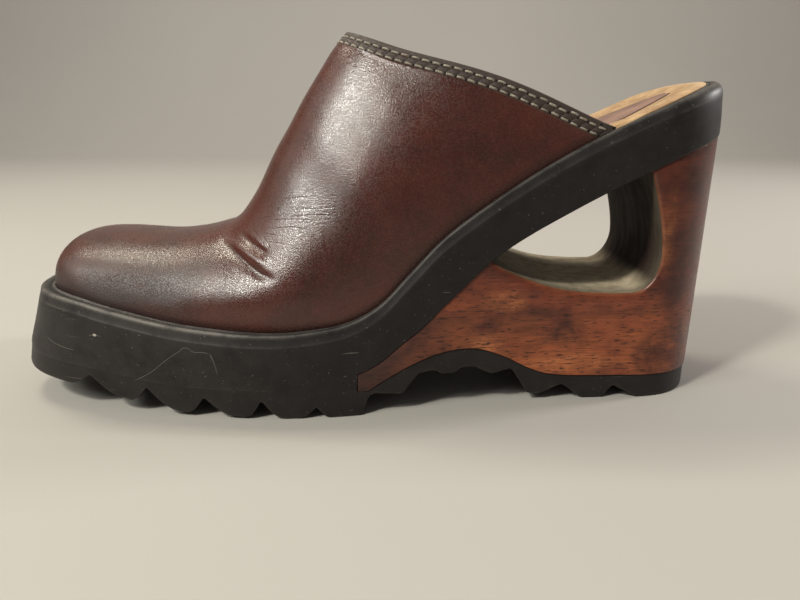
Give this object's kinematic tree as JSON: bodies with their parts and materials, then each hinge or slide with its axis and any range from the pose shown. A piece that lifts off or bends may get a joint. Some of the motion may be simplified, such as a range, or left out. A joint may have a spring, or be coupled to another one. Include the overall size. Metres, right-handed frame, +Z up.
{
  "type": "platform clog",
  "caption": "Backless leather clog on a lugged rubber platform, with a rubber band that climbs to the heel seat over an arched wooden wedge with an open window.",
  "frame": {"origin": "on the floor, under the middle of the shoe's length and width", "axes": "+X from toe to heel, -Y the outer side of a left shoe, +Z up"},
  "size_m": [0.2546, 0.0954, 0.1268],
  "materials": {
    "tread_rubber": "matt black moulded rubber",
    "platform_rubber": "satin black rubber, lightly scuffed",
    "wedge_wood": "reddish brown stained wood, satin, with short dark grain",
    "upper_leather": "dark chestnut smooth leather, semi-gloss, fine grain",
    "insole_suede": "tan suede, matt",
    "pad_leather": "smooth mauve-brown leather"
  },
  "bodies": {
    "root": {"outsole": "tread_rubber", "platform": "platform_rubber", "wedge_heel": "wedge_wood", "upper": "upper_leather", "insole": "insole_suede", "heel_pad": "pad_leather"}
  },
  "joints": []
}
